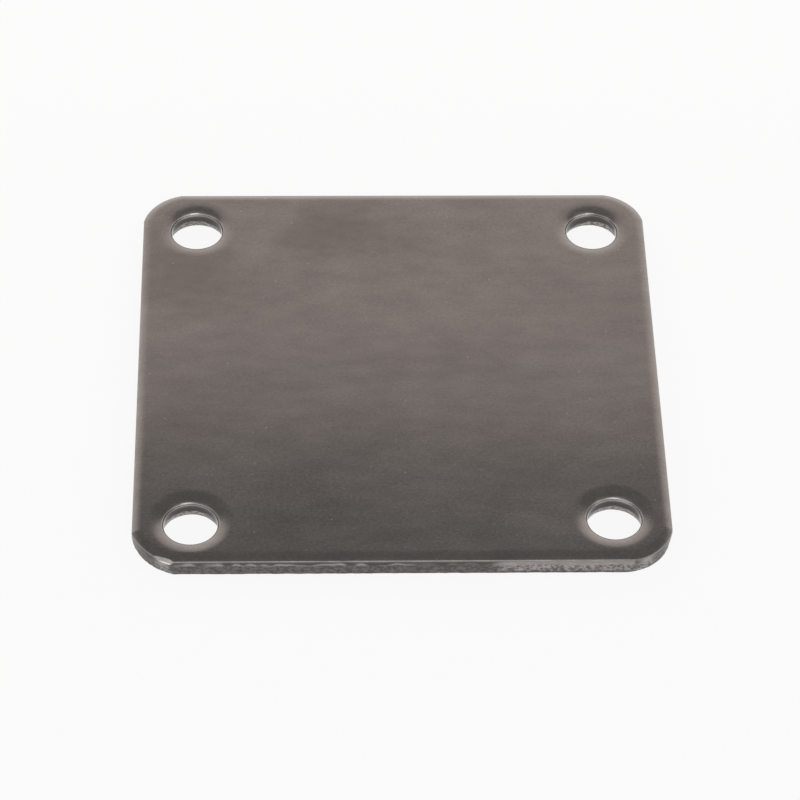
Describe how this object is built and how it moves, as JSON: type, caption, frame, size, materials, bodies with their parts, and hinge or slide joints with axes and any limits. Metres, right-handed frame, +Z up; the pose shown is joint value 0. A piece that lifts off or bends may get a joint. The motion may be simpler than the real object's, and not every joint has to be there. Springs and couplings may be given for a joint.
{
  "type": "rectangular cover plate",
  "caption": "Flat rectangular steel cover plate, sheared with rolled edges and rounded corners, with a clearance hole for a bolt in each corner.",
  "frame": {"origin": "middle of the underside, on the surface the plate lies on", "axes": "+X along the longer side, +Y along the shorter side, +Z up through the thickness, from the underside to the face with the rolled edges"},
  "size_m": [0.07, 0.069, 0.003],
  "materials": {
    "bare_steel": "bare hot-rolled and pickled steel, tumbled to a dull satin, with rougher sheared edges"
  },
  "bodies": {
    "root": {"cover_plate": "bare_steel"}
  },
  "joints": []
}
